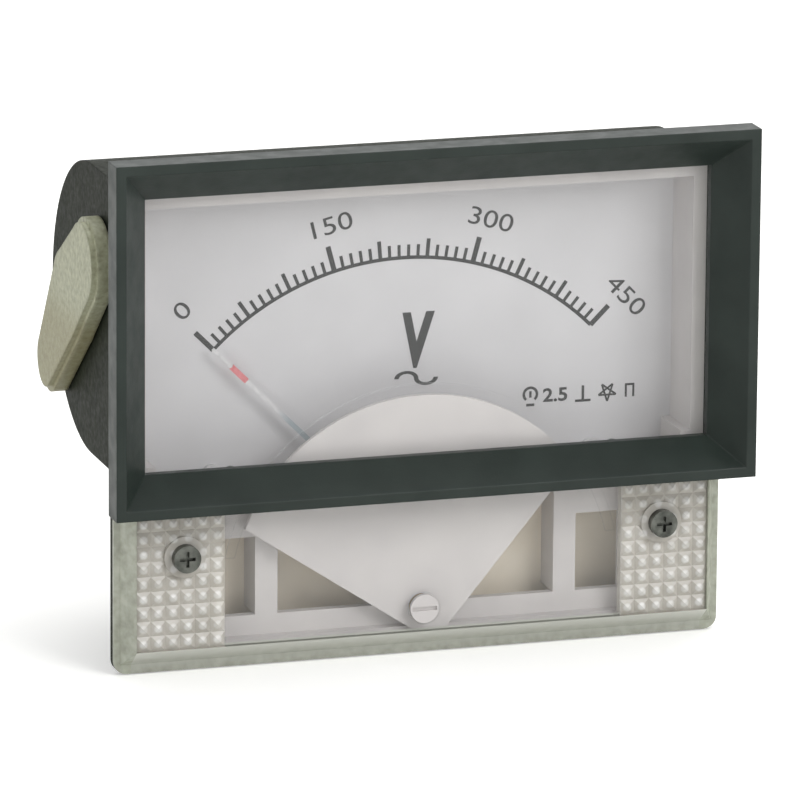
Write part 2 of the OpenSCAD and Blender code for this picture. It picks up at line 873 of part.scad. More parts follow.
module bridge_screws() {
    front = bridge_y;
    back = rear_bridge_y + bridge_t;
    color(steel) for (x = [-1, 1]) {
        rod(x * leg_x, 0, front - bridge_head_t, front, bridge_head_r);
        rod(x * leg_x, 0, front, yoke_y + screw_grip, bridge_screw_r);
        rod(x * leg_x, 0, back, back + bridge_head_t, bridge_head_r);
        rod(x * leg_x, 0, yoke_back - screw_grip, back, bridge_screw_r);
    }
}

// Screw that carries the cup bearing; its shoulder faces the spindle when turned round
module jewel(inner_end) {
    difference() {
        union() {
            rod(0, 0, 0, bridge_t + 0.6, jewel_r);
            rod(0, 0, -1.4, 0, jewel_shoulder_r);
            rod(0, 0, -1.4, -0.8, jewel_r);
        }
        rod(0, 0, inner_end - 1.2, inner_end + over, spindle_r + play);
        slab(-2, -1) square([4, 0.4], center = true);
    }
}

module front_jewel() {
    color(brass) translate([0, bridge_y, 0]) jewel(bridge_t + 0.6);
}

module rear_jewel() {
    color(brass) translate([0, rear_bridge_y + bridge_t, 0]) mirror([0, 1, 0]) jewel(bridge_t + 0.6);
}

module zero_lever() {
    color(brass) difference() {
        union() {
            slab(lever_y, lever_y + lever_t) {
                circle(r = 3);
                translate([-1.1, -zero_drop - zero_pin_e - 1.2]) square([2.2, zero_drop + zero_pin_e + 1.2]);
            }
            // Tab that holds the front hairspring's outer end
            translate([-0.6, lever_y, -spring_out_r - spring_t - 1.1])
                cube([1.2, front_spring_y + spring_w - lever_y + 0.2, 0.8]);
        }
        rod(0, 0, -5, 5, jewel_shoulder_r + play);
        slab(-5, 5) translate([-0.5, -zero_drop - zero_pin_e - 0.8]) square([1, 1.6]);
    }
}

// ---------- Moving coil ----------

// All that turns is drawn at mid scale and set back to zero
module at_zero() {
    rotate([0, -half_sweep, 0]) children();
}

// Rectangular loop round the core, drawn in X and Y and given its width across
module loop(x_in, x_out, y_in0, y_out0, y_in1, y_out1, half_w) {
    difference() {
        translate([-x_out, y_out0, -half_w]) cube([2 * x_out, y_out1 - y_out0, 2 * half_w]);
        translate([-x_in, y_in0, -half_w - over]) cube([2 * x_in, y_in1 - y_in0, 2 * half_w + 2 * over]);
    }
}

module coil_former() {
    color([0.75, 0.77, 0.8]) at_zero()
        loop(former_in, former_in + former_t, former_front, former_front - former_t,
            former_back, former_back + former_t, former_half_w);
}

module coil() {
    color(copper) at_zero()
        loop(former_in + former_t, former_in + former_t + coil_t, former_front - former_t, coil_front,
            former_back + former_t, coil_back, coil_half_w);
}

module front_spindle() {
    color(steel) {
        rod(0, 0, coil_front - 0.6, coil_front, 1.6);
        rod(0, 0, bridge_y + 0.8, coil_front - 0.6, spindle_r);
    }
}

module rear_spindle() {
    color(steel) {
        rod(0, 0, coil_back, coil_back + 0.6, 1.6);
        rod(0, 0, coil_back + 0.6, rear_bridge_y + 0.4, spindle_r);
    }
}

module pointer() {
    color([0.85, 0.82, 0.75]) at_zero() slab(needle_y, needle_y + needle_t) difference() {
        union() {
            circle(r = hub_r);
            polygon([[-0.6, -tail_len], [-needle_w / 2, pointer_len], [needle_w / 2, pointer_len], [0.6, -tail_len]]);
            translate([-arm_len, -0.5]) square([2 * arm_len, 1]);
        }
        circle(r = spindle_r + 0.02);
    }
}

module balance_weights() {
    y0 = needle_y + needle_t;
    color(brass) at_zero() {
        rod(0, -tail_len + 1, y0, y0 + 1.4, weight_r);
        for (x = [-1, 1]) rod(x * (arm_len - 1), 0, y0, y0 + 1.4, weight_r);
    }
}

// Points of one side of a flat spiral that runs from the collet out to its anchor
function spiral(offset) = [for (i = [0 : 1 : spring_turns * 20])
    let (t = i / (spring_turns * 20), r = spring_in_r + 0.4 + (spring_out_r - spring_in_r - 0.4) * t + offset,
        a = -90 - 360 * spring_turns * (1 - t))
    [r * cos(a), r * sin(a)]];
function reversed(points) = [for (i = [len(points) - 1 : -1 : 0]) points[i]];

module hairspring(y) {
    slab(y, y + spring_w) {
        polygon(concat(spiral(0), reversed(spiral(spring_t))));
        rotate(-90 - 360 * spring_turns) translate([spring_in_r - 0.3, -0.1]) square([0.7 + spring_t, 0.2]);
        difference() {
            circle(r = spring_in_r + spring_t);
            circle(r = spindle_r + 0.02);
        }
    }
}

module front_hairspring() {
    color(brass) hairspring(front_spring_y);
}

module rear_hairspring() {
    color(brass) hairspring(rear_spring_y);
}

// ---------- Clamps ----------

// Cam lever on the body's side, drawn in Y and Z round its pivot: head, swelling middle, tail
module clamp_outline(shrink) {
    middle = clamp_len * 0.4;
    rotate(240) translate([clamp_e, 0]) rotate(75) {
        rotate(atan2(clamp_swell, middle))
            tapered_link(clamp_head_r - shrink, clamp_head_r + clamp_swell / 2 - shrink,
                norm([middle, clamp_swell]));
        translate([middle, clamp_swell]) rotate(atan2(-clamp_swell * 0.4, clamp_len - middle))
            tapered_link(clamp_head_r + clamp_swell / 2 - shrink, clamp_tail_r - shrink,
                norm([clamp_len - middle, clamp_swell * 0.4]));
    }
}

module right_clamp() {
    x0 = body_w / 2 + gap;
    color(ivory) translate([0, clamp_y, clamp_z]) difference() {
        union() {
            side_slab(x0, x0 + clamp_t - 0.8) clamp_outline(0);
            side_slab(x0 + clamp_t - 1, x0 + clamp_t) clamp_outline(0.8);
        }
        translate([x0 - over, 0, 0]) rotate([0, 90, 0])
            cylinder(h = clamp_boss_len - gap + over + 0.2, r = clamp_boss_r + play);
    }
}

module left_clamp() {
    mirror([1, 0, 0]) right_clamp();
}

bezel();
clear_cover();
cover_screws();
zero_adjuster();
shield_mask();
inner_frame();
dial_plate();
dial_screws();
base_plate();
base_screws();
case();
terminal_studs();
terminal_nuts();
terminal_washers();
circuit_board();
rectifier();
multiplier_resistors();
yoke();
magnet_core();
front_core_strap();
rear_core_strap();
movement_screws();
front_bridge();
rear_bridge();
bridge_screws();
front_jewel();
rear_jewel();
zero_lever();
coil_former();
coil();
front_spindle();
rear_spindle();
pointer();
balance_weights();
front_hairspring();
rear_hairspring();
left_clamp();
right_clamp();
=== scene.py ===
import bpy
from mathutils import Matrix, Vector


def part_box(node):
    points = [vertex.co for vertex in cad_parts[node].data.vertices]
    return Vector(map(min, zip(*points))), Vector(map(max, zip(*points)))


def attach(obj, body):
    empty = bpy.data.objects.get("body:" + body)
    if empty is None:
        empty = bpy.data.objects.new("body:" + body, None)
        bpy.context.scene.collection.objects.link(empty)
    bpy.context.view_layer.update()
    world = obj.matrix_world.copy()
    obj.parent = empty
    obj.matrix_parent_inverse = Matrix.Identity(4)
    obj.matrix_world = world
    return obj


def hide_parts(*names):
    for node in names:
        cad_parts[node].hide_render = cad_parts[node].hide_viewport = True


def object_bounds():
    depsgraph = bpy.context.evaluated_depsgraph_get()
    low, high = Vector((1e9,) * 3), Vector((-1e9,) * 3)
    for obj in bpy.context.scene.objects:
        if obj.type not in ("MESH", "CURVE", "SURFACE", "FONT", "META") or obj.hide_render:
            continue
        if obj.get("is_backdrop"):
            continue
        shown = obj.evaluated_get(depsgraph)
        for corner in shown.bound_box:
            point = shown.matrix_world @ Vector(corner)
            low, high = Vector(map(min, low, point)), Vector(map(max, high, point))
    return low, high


bl_info = {
    "name": "Analog Panel Meter",
    "version": (1, 0, 0),
    "blender": (4, 5, 0),
    "location": "View3D > Sidebar > Panel Meter",
    "description": "Finishes a moving-coil panel meter: printed dial, threaded studs, surfaces and a studio",
    "category": "Object",
}

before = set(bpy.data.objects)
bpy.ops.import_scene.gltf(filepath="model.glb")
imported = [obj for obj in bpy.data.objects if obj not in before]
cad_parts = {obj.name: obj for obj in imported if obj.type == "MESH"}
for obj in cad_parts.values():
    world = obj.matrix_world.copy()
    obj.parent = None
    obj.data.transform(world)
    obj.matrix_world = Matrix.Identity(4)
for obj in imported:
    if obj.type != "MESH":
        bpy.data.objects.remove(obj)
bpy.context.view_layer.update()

from math import cos, hypot, pi, radians, sin

import bmesh
import bpy
from bpy.props import FloatProperty, FloatVectorProperty, IntProperty, PointerProperty
from mathutils import Matrix, Vector

MM = 0.001

# The scale's first angle from upright and its sweep
SCALE_START, SCALE_SWEEP = -pi / 4, pi / 2
# Where the dial's ink lies, and the step that keeps crossing strokes out of one plane
INK_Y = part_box("dial_plate")[0][1] - 0.03 * MM
INK_STEP = 0.002 * MM

# Settings of the nodes that mix colours and that ease a range in and out
COLOUR = {"data_type": "RGBA"}
EASED = {"interpolation_type": "SMOOTHSTEP"}


# ---------- Colours and nodes ----------

def srgb(code):
    """Linear RGBA of an sRGB hex colour."""
    parts = [int(code[i:i + 2], 16) / 255 for i in (1, 3, 5)]
    return tuple(c / 12.92 if c <= 0.04045 else ((c + 0.055) / 1.055) ** 2.4 for c in parts) + (1.0,)


def fill(node, inputs):
    """Fills inputs with values, hex colours, sockets, or nodes, which stand for their first output in use."""
    for name, value in inputs.items():
        socket = node.inputs[name]
        if isinstance(value, bpy.types.Node):
            value = next(output for output in value.outputs if output.enabled)
        if isinstance(value, bpy.types.NodeSocket):
            node.id_data.links.new(value, socket)
        elif isinstance(value, str):
            socket.default_value = srgb(value)
        else:
            socket.default_value = value
    return node


def add_node(tree, kind, settings=None, inputs=None):
    """Adds a node, sets its properties and fills its inputs."""
    node = tree.nodes.new(kind)
    for name, value in (settings or {}).items():
        setattr(node, name, value)
    return fill(node, inputs or {})


def new_material(name):
    """Material, its node tree and its Principled shader."""
    material = bpy.data.materials.new(name)
    material.use_nodes = True
    return material, material.node_tree, material.node_tree.nodes["Principled BSDF"]


def object_coords(tree, scale=(1, 1, 1)):
    """Object coordinates of the piece itself, in metres, with each axis scaled."""
    coords = add_node(tree, "ShaderNodeTexCoord").outputs["Object"]
    return add_node(tree, "ShaderNodeMapping", inputs={"Vector": coords, "Scale": scale})


def speckle(tree, size_mm, low=0.0, high=1.0, detail=2.0, scale=(1, 1, 1)):
    """Noise with grains of a real size, its usual range of 0.3 to 0.7 spread between two values."""
    noise = add_node(tree, "ShaderNodeTexNoise", inputs={
        "Vector": object_coords(tree, scale), "Scale": 1 / (size_mm * MM), "Detail": detail})
    return add_node(tree, "ShaderNodeMapRange", inputs={
        "Value": noise, "From Min": 0.3, "From Max": 0.7, "To Min": low, "To Max": high})


def relief(tree, height, depth_mm, edge_mm=0.0):
    """Normal from a height, over faces as flat as they are or over edges softened by a small radius."""
    if edge_mm:
        surface = add_node(tree, "ShaderNodeBevel", {"samples": 4}, {"Radius": edge_mm * MM})
    else:
        surface = add_node(tree, "ShaderNodeNewGeometry").outputs["True Normal"]
    return add_node(tree, "ShaderNodeBump", inputs={
        "Height": height, "Strength": 1.0, "Distance": depth_mm * MM, "Normal": surface})


def moulded(name, dark, light, roughness, grain_mm, depth_mm, edge_mm, patch_mm=9.0, specular=0.5, painted_shade=None):
    """Moulded plastic: faint cloudy colour, spark-eroded grain and edges rounded by the tool.

    A second colour along an axis paints shade: the axis, where it starts and is fullest, its share and its
    code.
    """
    material, tree, shader = new_material(name)
    cloud = speckle(tree, patch_mm, detail=5.0)
    colour = add_node(tree, "ShaderNodeMix", COLOUR, {"Factor": cloud, "A": dark, "B": light})
    # A second colour along an axis, eased in, paints shade
    if painted_shade:
        axis, start, full, share, code = painted_shade
        place = add_node(tree, "ShaderNodeSeparateXYZ", inputs={"Vector": object_coords(tree)})
        amount = add_node(tree, "ShaderNodeMapRange", EASED, {
            "Value": place.outputs[axis], "From Min": start, "From Max": full, "To Max": share})
        colour = add_node(tree, "ShaderNodeMix", COLOUR, {"Factor": amount, "A": colour, "B": code})
    grain = speckle(tree, grain_mm, detail=3.0)
    fill(shader, {
        "Base Color": colour, "IOR": 1.52, "Specular IOR Level": specular,
        "Roughness": speckle(tree, patch_mm / 3, roughness - 0.06, roughness + 0.08),
        "Normal": relief(tree, grain, depth_mm, edge_mm)})
    return material


def plated(name, dark, light, roughness, line_mm, stretch=(1, 1, 1)):
    """Turned or stamped metal: fine tool lines, a little tarnish and edges broken by a hair."""
    material, tree, shader = new_material(name)
    tarnish = speckle(tree, 2.5, detail=4.0)
    fill(shader, {
        "Base Color": add_node(tree, "ShaderNodeMix", COLOUR, {"Factor": tarnish, "A": dark, "B": light}),
        "Metallic": 1.0,
        "Roughness": speckle(tree, 1.2, roughness - 0.05, roughness + 0.12),
        "Normal": relief(tree, speckle(tree, line_mm, scale=stretch), depth_mm=0.01, edge_mm=0.05)})
    return material


# ---------- Finishes ----------

def black_abs():
    """Moulded black ABS of the bezel: a cool green-black with a fine spark-eroded grain."""
    return moulded("moulded_black_abs", "#212925", "#2B332F", roughness=0.36, grain_mm=0.35,
                   depth_mm=0.006, edge_mm=0.3, specular=0.25)


def black_phenolic():
    """Moulded phenolic of the case: green-black and dull, with a wood-flour mottle."""
    return moulded("moulded_black_phenolic", "#181C14", "#22261C", roughness=0.5, grain_mm=0.3,
                   depth_mm=0.002, edge_mm=0.4, patch_mm=2.5, specular=0.07)


def ivory_nylon():
    """Injection-moulded nylon of the clamps: waxy grey-ivory with flow marks, with painted brown shade lower
    down.
    """
    return moulded("moulded_ivory_nylon", "#8A8B72", "#B0B296", roughness=0.42, grain_mm=0.5,
                   depth_mm=0.006, edge_mm=0.8, patch_mm=0.9, painted_shade=("Z", 37.5 * MM, 30 * MM, 0.55, "#7E7448"))


def ivory_base():
    """Moulded base under the movement: warm ivory, with painted olive shade deeper down in the well."""
    return moulded("moulded_ivory_abs", "#F0E4D4", "#F6EDE0", roughness=0.5, grain_mm=0.4,
                   depth_mm=0.004, edge_mm=0.0, painted_shade=("Y", 0.0, 8 * MM, 0.25, "#C6BC8E"))


def white_styrene():
    """Moulded white polystyrene of the frame and the shield: smooth, slightly warm."""
    return moulded("moulded_white_styrene", "#C8C4C3", "#D2CECC", roughness=0.42, grain_mm=0.5,
                   depth_mm=0.003, edge_mm=0.0)


def dial_enamel():
    """Matt white enamel on the dial's sheet: orange peel that only shows at a glance."""
    return moulded("matt_white_enamel", "#C9C8CA", "#D3D2D4", roughness=0.55, grain_mm=0.6,
                   depth_mm=0.002, edge_mm=0.0, patch_mm=14.0)


def clear_acrylic():
    """Moulded clear acrylic: clear on its face, milky where pyramids or sloped edges scatter the light, with
    painted highlights and shade on them.
    """
    material, tree, shader = new_material("moulded_clear_acrylic")
    cover = bpy.context.scene.panel_meter_cover
    pitch = cover.prism_pitch
    edge, foot = cover.width / 2 - cover.side_bevel, cover.foot + cover.low_bevel
    inner, top_row = edge - 6 * pitch, foot + 10 * pitch
    place = add_node(tree, "ShaderNodeSeparateXYZ", inputs={"Vector": object_coords(tree)})
    side = add_node(tree, "ShaderNodeMath", {"operation": "ABSOLUTE"}, {0: place.outputs["X"]})
    height = place.outputs["Z"]
    past_edge, under_foot, past_inner, under_top = (
        add_node(tree, "ShaderNodeMath", {"operation": operation}, {0: value, 1: limit})
        for value, operation, limit in ((side, "GREATER_THAN", edge), (height, "LESS_THAN", foot),
                                        (side, "GREATER_THAN", inner), (height, "LESS_THAN", top_row)))
    slope = add_node(tree, "ShaderNodeMath", {"operation": "MAXIMUM"}, {0: past_edge, 1: under_foot})
    corner = add_node(tree, "ShaderNodeMath", {"operation": "MULTIPLY"}, {0: past_inner, 1: under_top})

    # Each pyramid has a painted highlight at its tip and painted grey shade in the grooves round it
    cell = add_node(tree, "ShaderNodeCombineXYZ", inputs={"X": side, "Z": height})
    cell = add_node(tree, "ShaderNodeVectorMath", {"operation": "MULTIPLY_ADD"}, {
        0: cell, 1: (1 / pitch, 0, 1 / pitch), 2: (-inner / pitch, 0, -foot / pitch)})
    cell = add_node(tree, "ShaderNodeVectorMath", {"operation": "FRACTION"}, {0: cell})
    cell = add_node(tree, "ShaderNodeVectorMath", {"operation": "SUBTRACT"}, {0: cell, 1: (0.5, 0, 0.5)})
    off_tip = add_node(tree, "ShaderNodeVectorMath", {"operation": "DOT_PRODUCT"}, {0: cell, 1: cell})
    tip = add_node(tree, "ShaderNodeMapRange", EASED, {"Value": off_tip, "From Min": 0.11, "From Max": 0.02})
    spark = add_node(tree, "ShaderNodeMath", {"operation": "MULTIPLY"}, {
        0: tip, 1: speckle(tree, 2.0, 0.3, 0.95)})
    groove_shade = add_node(tree, "ShaderNodeMix", COLOUR, {
        "Factor": speckle(tree, 4.0), "A": "#BDB9AF", "B": "#D6D2CA"})
    prism = add_node(tree, "ShaderNodeMix", COLOUR, {"Factor": spark, "A": groove_shade, "B": "#F8F8F6"})

    # The sloped edges are seen end on: their grey-green is the acrylic's own edge tint with painted shade
    # over it, and the foot's painted shade pales towards the face
    mottle = speckle(tree, 1.6)
    fall = add_node(tree, "ShaderNodeMapRange", inputs={
        "Value": height, "From Min": cover.foot, "From Max": foot})
    side_rim = add_node(tree, "ShaderNodeMix", COLOUR, {"Factor": mottle, "A": "#9EA192", "B": "#BCBFB1"})
    low_rim = add_node(tree, "ShaderNodeMix", COLOUR, {"Factor": mottle, "A": "#9A9C90", "B": "#B2B4A9"})
    low_rim = add_node(tree, "ShaderNodeMix", COLOUR, {"Factor": fall, "A": low_rim, "B": "#D6D7CF"})
    rim = add_node(tree, "ShaderNodeMix", COLOUR, {"Factor": past_edge, "A": low_rim, "B": side_rim})
    face = add_node(tree, "ShaderNodeMix", COLOUR, {"Factor": corner, "A": "#F2F3F2", "B": prism})

    # Clear but for a trace, milky on the slopes and the pyramids, and fuller where it is seen at a glance,
    # which paints a white sheen
    body = 0.03
    for zone, share in ((slope, 0.85), (corner, 0.62)):
        milk = add_node(tree, "ShaderNodeMath", {"operation": "MULTIPLY"}, {0: zone, 1: share})
        body = add_node(tree, "ShaderNodeMath", {"operation": "MAXIMUM"}, {0: milk, 1: body})
    flat = add_node(tree, "ShaderNodeNewGeometry").outputs["True Normal"]
    glance = add_node(tree, "ShaderNodeLayerWeight", inputs={"Blend": 0.3, "Normal": flat}).outputs["Facing"]
    alpha = add_node(tree, "ShaderNodeMath", {"operation": "MULTIPLY_ADD", "use_clamp": True}, {
        0: glance, 1: 0.25, 2: body})
    # Faint sink marks, over the flat faces as they are
    fill(shader, {
        "Base Color": add_node(tree, "ShaderNodeMix", COLOUR, {"Factor": slope, "A": face, "B": rim}),
        "Roughness": 0.06, "IOR": 1.49, "Alpha": alpha, "Normal": relief(tree, speckle(tree, 6.0), 0.006)})
    return material


def printing_ink(name, dark, light):
    """Screen-printed ink: matt, with a faint uneven edge of cover."""
    material, tree, shader = new_material(name)
    cover = speckle(tree, 0.5)
    fill(shader, {
        "Base Color": add_node(tree, "ShaderNodeMix", COLOUR, {"Factor": cover, "A": dark, "B": light}),
        "Roughness": 0.6, "IOR": 1.5, "Normal": relief(tree, cover, 0.004)})
    return material


def bright_steel():
    """Zinc-plated screws: bright, with turning lines."""
    return plated("zinc_plated_steel", "#8E9092", "#B4B6B8", roughness=0.3, line_mm=0.15, stretch=(1, 8, 1))


def dark_steel():
    """Oiled black screws and the sintered magnet: dark with bright rubbed spots."""
    return plated("blackened_steel", "#3A3C38", "#7C7E78", roughness=0.3, line_mm=0.2)


def brass():
    """Drawn brass of studs, nuts, straps and springs: yellow, with lines along its length."""
    return plated("drawn_brass", "#A88546", "#CDAE68", roughness=0.28, line_mm=0.15, stretch=(1, 6, 1))


def aluminium():
    """Thin pressed aluminium of the coil's former: pale and satin."""
    return plated("pressed_aluminium", "#C4C4C0", "#DEDEDA", roughness=0.38, line_mm=0.2)


def white_lacquer():
    """White lacquer on the needle and the dial's screws; the needle's wide root is coloured blue-grey."""
    material, tree, shader = new_material("white_lacquer")
    from_axis = add_node(tree, "ShaderNodeVectorMath", {"operation": "LENGTH"}, {
        0: object_coords(tree, scale=(1, 0, 1))})
    root = add_node(tree, "ShaderNodeMapRange", EASED, {
        "Value": from_axis, "From Min": 29.5 * MM, "From Max": 25.5 * MM, "To Max": 0.9})
    paint = add_node(tree, "ShaderNodeMix", COLOUR, {
        "Factor": speckle(tree, 0.8), "A": "#C6C5C6", "B": "#D8D7D8"})
    fill(shader, {
        "Base Color": add_node(tree, "ShaderNodeMix", COLOUR, {"Factor": root, "A": paint, "B": "#9AA6AC"}),
        "Roughness": 0.45, "IOR": 1.5, "Normal": relief(tree, speckle(tree, 0.4), 0.004)})
    return material


def copper_wire():
    """Enamelled copper wire wound in layers: the light and shade of the turns is painted in bands of colour.
    """
    material, tree, shader = new_material("enamelled_copper_wire")
    # The wire itself is too fine to show, so the bands stand some turns apart. They repeat every 2 pi / 10
    # of the coordinates at a scale of 1
    band = 1.974 * MM
    turns = add_node(tree, "ShaderNodeTexWave", {"wave_type": "BANDS", "bands_direction": "DIAGONAL"}, {
        "Vector": object_coords(tree), "Scale": 2 * pi / (10 * band), "Distortion": 0.3}).outputs["Fac"]
    fill(shader, {
        "Base Color": add_node(tree, "ShaderNodeMix", COLOUR, {
            "Factor": turns, "A": "#6E3212", "B": "#C06E3C"}),
        "Metallic": 1.0, "Roughness": 0.3, "Normal": relief(tree, turns, 0.05)})
    return material


def board_laminate():
    """Paper-phenolic laminate: brown-yellow with fine fibres."""
    material, tree, shader = new_material("phenolic_paper_laminate")
    fibre = speckle(tree, 1.5, detail=6.0, scale=(1, 1, 5))
    fill(shader, {
        "Base Color": add_node(tree, "ShaderNodeMix", COLOUR, {
            "Factor": fibre, "A": "#7E6230", "B": "#A98A4C"}),
        "Roughness": 0.5, "IOR": 1.5, "Normal": relief(tree, fibre, 0.01, 0.1)})
    return material


def paper_floor(tone):
    """Matt white paper: white to the camera apart from the meter's own soft shadow."""
    material, tree, shader = new_material("matt_paper_floor")
    seen = add_node(tree, "ShaderNodeLightPath").outputs["Is Camera Ray"]
    fill(shader, {
        "Base Color": add_node(tree, "ShaderNodeMix", COLOUR, {
            "Factor": speckle(tree, 30.0), "A": tone, "B": "#FAFAF8"}),
        "Roughness": 0.9, "Emission Color": (1, 1, 1, 1),
        "Emission Strength": add_node(tree, "ShaderNodeMath", {"operation": "MULTIPLY"}, {0: seen, 1: 0.3})})
    return material


FINISHES = {
    "bezel": black_abs, "case": black_phenolic, "rectifier": black_phenolic,
    "clear_cover": clear_acrylic, "zero_adjuster": white_styrene,
    "cover_screws": dark_steel, "magnet_core": dark_steel,
    "shield_mask": white_styrene, "inner_frame": white_styrene,
    "dial_plate": dial_enamel, "base_plate": ivory_base, "multiplier_resistors": ivory_base,
    "dial_screws": white_lacquer, "base_screws": bright_steel, "yoke": bright_steel,
    "movement_screws": bright_steel, "bridge_screws": bright_steel,
    "front_spindle": bright_steel, "rear_spindle": bright_steel,
    "terminal_studs": brass, "terminal_nuts": brass, "terminal_washers": brass,
    "front_core_strap": brass, "rear_core_strap": brass, "front_bridge": brass, "rear_bridge": brass,
    "front_jewel": brass, "rear_jewel": brass, "zero_lever": brass, "balance_weights": brass,
    "front_hairspring": brass, "rear_hairspring": brass,
    "coil_former": aluminium, "pointer": white_lacquer, "coil": copper_wire,
    "circuit_board": board_laminate, "left_clamp": ivory_nylon, "right_clamp": ivory_nylon,
}


# ---------- Shared modelling ----------

def to_object(name, bm):
    """Object at the origin from a bmesh, which is freed."""
    mesh = bpy.data.meshes.new(name)
    bm.to_mesh(mesh)
    bm.free()
    return bpy.data.objects.new(name, mesh)


def dress(piece, material, body):
    """Puts a piece in the scene with its finish, on the body that it rides and with its material slot."""
    bpy.context.scene.collection.objects.link(piece)
    piece.data.materials.clear()
    piece.data.materials.append(bpy.data.materials[material])
    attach(piece, body)
    return piece


def dress_print(piece):
    """Black printing, which rides with the dial."""
    dress(piece, "black_dial_ink", "housing")


def around(angle):
    """Turn about the pointer's axis, clockwise as seen from the front."""
    return Matrix.Rotation(angle, 4, "Y")


def add_bar(bm, x, z, wide, high, y, turn=0.0, spot=(0, 0)):
    """Flat bar of ink, centred at x, z before it is turned about the pointer's axis and moved to a spot."""
    bar = bmesh.ops.create_grid(bm, x_segments=1, y_segments=1, size=0.5)["verts"]
    bmesh.ops.scale(bm, vec=(wide, high, 1), verts=bar)
    bmesh.ops.rotate(bm, cent=(0, 0, 0), matrix=Matrix.Rotation(pi / 2, 3, "X"), verts=bar)
    bmesh.ops.translate(bm, vec=(x, y, z), verts=bar)
    bmesh.ops.rotate(bm, cent=(0, 0, 0), matrix=around(turn).to_3x3(), verts=bar)
    bmesh.ops.translate(bm, vec=(spot[0], 0, spot[1]), verts=bar)


def add_arc(bm, radius, wide, start, sweep, centre=(0, 0), steps=60):
    """Flat band of ink that follows an arc about a centre, clockwise from an angle off the top."""
    x, z = centre
    middle = (x, INK_Y, z)
    ends = [bm.verts.new((x, INK_Y, z + radius + side * wide / 2)) for side in (-1, 1)]
    bmesh.ops.rotate(bm, cent=middle, matrix=around(start).to_3x3(), verts=ends)
    edge = bm.edges.new(ends)
    bmesh.ops.spin(bm, geom=ends + [edge], cent=middle, axis=(0, 1, 0), angle=sweep, steps=steps)


def printed_shapes(name, bm):
    """Piece of flat printing from a bmesh, with every face turned to the front."""
    bm.normal_update()
    bmesh.ops.reverse_faces(bm, faces=[f for f in bm.faces if f.normal.y > 0])
    dress_print(to_object(name, bm))


def printed_text(name, words, size, x, z, turn=0.0, wide=1.3, weight=0.0, shear=0.0):
    """Piece of flat lettering that faces the front, centred at x, z and stretched sideways."""
    curve = bpy.data.curves.new("lettering", "FONT")
    curve.body = words
    curve.size = size
    curve.align_x = "CENTER"
    curve.align_y = "CENTER"
    curve.shear = shear
    curve.resolution_u = 6
    curve.offset = size * weight
    holder = bpy.data.objects.new("lettering", curve)
    bpy.context.scene.collection.objects.link(holder)
    bpy.context.view_layer.update()
    mesh = bpy.data.meshes.new_from_object(holder)
    bpy.data.objects.remove(holder)
    bpy.data.curves.remove(curve)
    upright = Matrix.Rotation(pi / 2, 4, "X") @ Matrix.Diagonal((wide, 1, 1, 1))
    mesh.transform(Matrix.Translation((x, INK_Y, z)) @ around(turn) @ upright)
    dress_print(bpy.data.objects.new(name, mesh))


def add_rod(bm, start, end, radius, sides, chamfer=0.0):
    """Rod along Y from start to end, with a chamfer round its far end."""
    rod = bmesh.ops.create_cone(bm, cap_ends=True, segments=sides, radius1=radius, radius2=radius,
                                depth=end - start)["verts"]
    bmesh.ops.rotate(bm, cent=(0, 0, 0), matrix=Matrix.Rotation(-pi / 2, 3, "X"), verts=rod)
    if sides == 6:
        # A hexagon's corners point to the sides
        bmesh.ops.rotate(bm, cent=(0, 0, 0), matrix=around(pi / 2).to_3x3(), verts=rod)
    bmesh.ops.translate(bm, vec=(0, (start + end) / 2, 0), verts=rod)
    if chamfer:
        far = {v for v in rod if v.co.y > end - 0.01 * MM}
        bmesh.ops.bevel(bm, geom=[e for e in bm.edges if far.issuperset(e.verts)], offset=chamfer, segments=2,
                        profile=0.5, affect="EDGES", material=-1)


def add_thread(bm, start, end, radius, depth, pitch, steps=20):
    """Thread along Y: one crest spun up the stud and cut square at both ends, the far end chamfered."""
    others = set(bm.verts)
    root = radius - depth
    outline = ((root, -1.0), (radius, -0.55), (radius, -0.45), (root, 0.0))
    line = [bm.verts.new((reach, start + along * pitch, 0)) for reach, along in outline]
    edges = [bm.edges.new(line[i:i + 2]) for i in range(3)]
    turns = int((end - start) / pitch) + 2
    bmesh.ops.spin(bm, geom=line + edges, cent=(0, 0, 0), axis=(0, 1, 0), dvec=(0, pitch / steps, 0),
                   angle=2 * pi * turns, steps=steps * turns)
    bmesh.ops.remove_doubles(bm, verts=[v for v in bm.verts if v not in others], dist=0.01 * MM)
    for y, outwards in ((start, (0, -1, 0)), (end, (0, 1, 0))):
        thread = [v for v in bm.verts if v not in others]
        thread += [part for parts in (bm.edges, bm.faces) for part in parts if part.verts[0] not in others]
        cut = bmesh.ops.bisect_plane(bm, geom=thread, dist=0.001 * MM, plane_co=(0, y, 0), plane_no=outwards,
                                     clear_outer=True)["geom_cut"]
        bmesh.ops.contextual_create(bm, geom=[part for part in cut if isinstance(part, bmesh.types.BMEdge)])
    slope, taper = 0.48, end - 0.5 * MM
    for v in bm.verts:
        limit = radius - max(0.0, v.co.y - taper) * slope
        reach = hypot(v.co.x, v.co.z)
        if v not in others and reach > limit:
            v.co.x *= limit / reach
            v.co.z *= limit / reach


def add_lamp(name, place, aim, size, power):
    """Square lamp at a place, turned to what it lights."""
    lamp = bpy.data.lights.new(name, "AREA")
    lamp.shape = "SQUARE"
    lamp.size = size
    lamp.energy = power
    holder = bpy.data.objects.new(name, lamp)
    turn = (Vector(aim) - Vector(place)).to_track_quat("-Z", "Y")
    holder.matrix_world = Matrix.Translation(place) @ turn.to_matrix().to_4x4()
    bpy.context.scene.collection.objects.link(holder)


# ---------- Settings ----------

